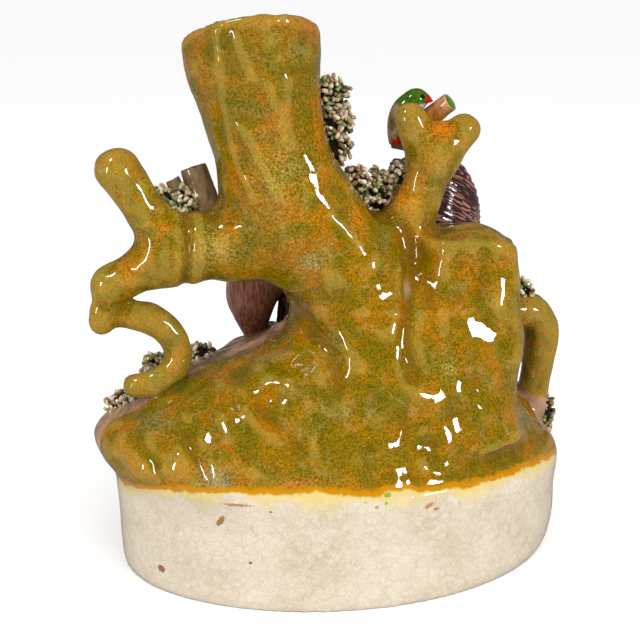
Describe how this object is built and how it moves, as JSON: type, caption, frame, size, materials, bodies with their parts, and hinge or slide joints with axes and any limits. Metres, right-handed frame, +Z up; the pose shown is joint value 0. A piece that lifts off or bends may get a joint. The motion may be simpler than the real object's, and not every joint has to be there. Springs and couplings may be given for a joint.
{
  "type": "figural spill vase",
  "caption": "Figural spill vase in glazed earthenware: a hollow tree trunk with side branches on a rocky mound and oval plinth, with an animal standing in front.",
  "frame": {"origin": "middle of the oval plinth's flat underside", "axes": "+Z up to the trunk's mouth, -Y the modelled tree back that the picture shows, +Y the animal's side, X along the plinth"},
  "size_m": [0.2774, 0.1912, 0.3032],
  "materials": {
    "glazed_earthenware": "thick glossy lead glaze over cream earthenware: mottled olive and ochre above, cream and crackled below"
  },
  "bodies": {
    "root": {"spill_vase": "glazed_earthenware"}
  },
  "joints": []
}
